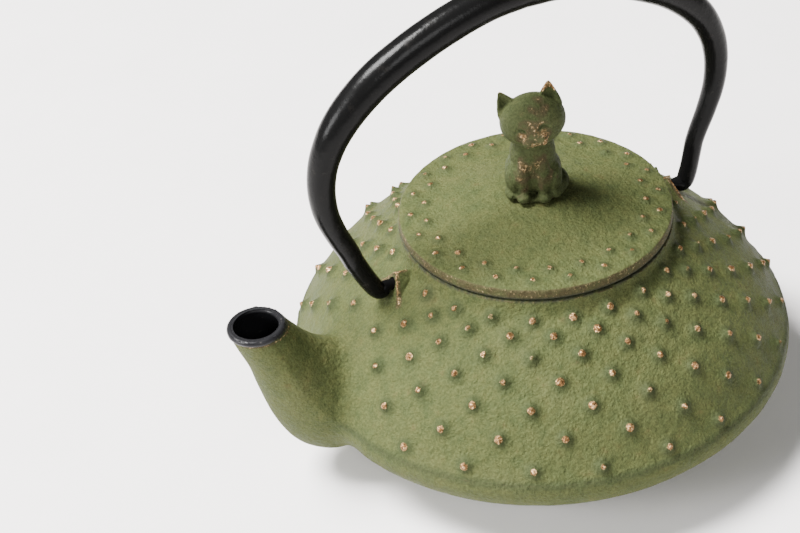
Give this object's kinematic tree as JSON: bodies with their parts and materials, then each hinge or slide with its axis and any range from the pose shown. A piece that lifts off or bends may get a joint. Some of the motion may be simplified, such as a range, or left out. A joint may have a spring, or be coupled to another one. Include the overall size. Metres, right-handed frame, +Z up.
{
  "type": "cast iron teapot",
  "caption": "Round cast iron teapot with rows of raised hobnails, a short curved spout, a domed lid with a seated cat knob, a swinging bail handle and a lift-out steel strainer",
  "frame": {"origin": "centre of the flat foot, on the pot's axis", "axes": "+Z up through the lid, -X towards the spout, the bail stands in the XZ plane and turns about X"},
  "size_m": [0.162, 0.1416, 0.1358],
  "materials": {
    "green_patina_iron": "matt green patina over cast iron, worn to copper brown on the raised points, with black enamel inside",
    "black_lacquered_iron": "smooth black satin lacquer",
    "stainless_steel": "plain stainless sheet and fine gauze"
  },
  "bodies": {
    "pot": {"pot_body": "green_patina_iron"},
    "bail": {"bail_handle": "black_lacquered_iron"},
    "strainer": {"strainer_rim": "stainless_steel", "strainer_wall_mesh": "stainless_steel", "strainer_base_ring": "stainless_steel", "strainer_base_mesh": "stainless_steel"},
    "lid": {"lid": "green_patina_iron", "knob_figure": "green_patina_iron", "knob_washer": "stainless_steel", "knob_screw": "stainless_steel"}
  },
  "joints": [
    {"name": "bail_swing", "type": "hinge", "parent": "pot", "child": "bail", "pos_m": [0, 0, 0.0547], "axis": [1, 0, 0], "range_deg": [-104, 104]},
    {"name": "strainer_lift", "type": "slide", "parent": "pot", "child": "strainer", "axis": [0, 0, 1], "range_m": [0, 0.02]},
    {"name": "lid_lift", "type": "slide", "parent": "strainer", "child": "lid", "axis": [0, 0, 1], "range_m": [0, 0.02]}
  ]
}
